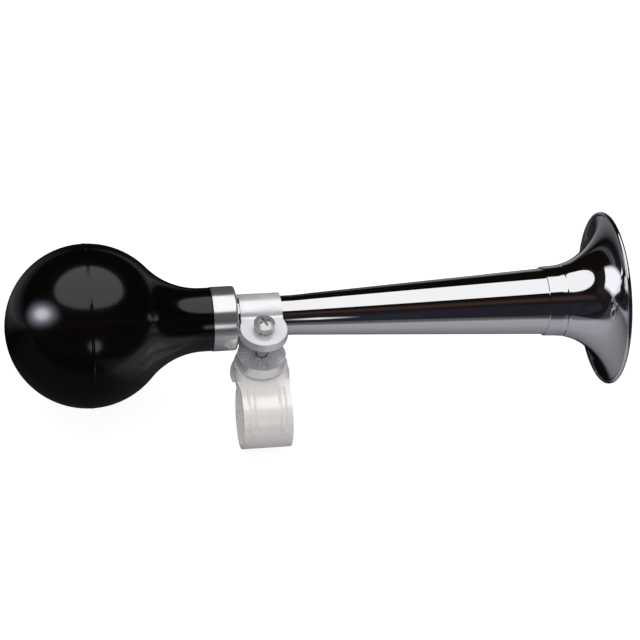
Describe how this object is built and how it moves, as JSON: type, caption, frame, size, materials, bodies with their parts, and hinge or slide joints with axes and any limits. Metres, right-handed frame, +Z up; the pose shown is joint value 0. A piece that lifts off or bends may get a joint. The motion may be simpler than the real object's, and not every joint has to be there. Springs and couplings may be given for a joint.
{
  "type": "bicycle bulb horn",
  "caption": "Handlebar bulb horn: squeezing the rubber bulb blows a reed into a flared metal trumpet that swivels on a strap clamp.",
  "frame": {"origin": "centre of the handlebar clamp's loop, midway along the strip's width", "axes": "+X along the handlebar and, at rest, along the horn towards the bell's mouth; +Z up along the pivot screw, towards its head; +Y from the handlebar to the horn"},
  "size_m": [0.2355, 0.0747, 0.0719],
  "materials": {
    "rubber": "glossy moulded rubber",
    "chrome_sheet": "mirror chrome",
    "satin_steel": "satin nickel",
    "zinc_strip": "pale zinc plating",
    "bright_screw": "bright nickel",
    "brass": "turned brass",
    "spring_brass": "rolled spring brass"
  },
  "bodies": {
    "clamp": {"clamp_band": "zinc_strip", "toothed_disc": "satin_steel", "pivot_screw": "bright_screw", "spring_washer": "bright_screw", "hex_nut": "bright_screw"},
    "horn": {"trumpet_cone": "chrome_sheet", "bell": "chrome_sheet", "saddle": "satin_steel", "neck_ferrule": "satin_steel", "reed_nipple": "brass", "reed_plug": "brass", "reed_shallot": "brass", "reed_wedge": "brass", "bulb_front_half": "rubber"},
    "bulb": {"bulb_back_half": "rubber"},
    "reed": {"reed_tongue": "spring_brass"}
  },
  "joints": [
    {"name": "horn_swivel", "type": "hinge", "parent": "clamp", "child": "horn", "pos_m": [0, 0.016, 0.016], "axis": [0, 0, 1], "continuous": true},
    {"name": "bulb_squeeze", "type": "slide", "parent": "horn", "child": "bulb", "axis": [1, 0, 0], "range_m": [0, 0.022], "stiffness_N_per_m": 600, "deforming": ["bulb_front_half"]},
    {"name": "reed_beat", "type": "hinge", "parent": "horn", "child": "reed", "pos_m": [-0.04044, 0.02822, 0.02672], "axis": [0, 1, 0], "range_deg": [-1.9, 2.5], "stiffness_Nm_per_rad": 0.0005, "deforming": ["reed_tongue"]}
  ]
}
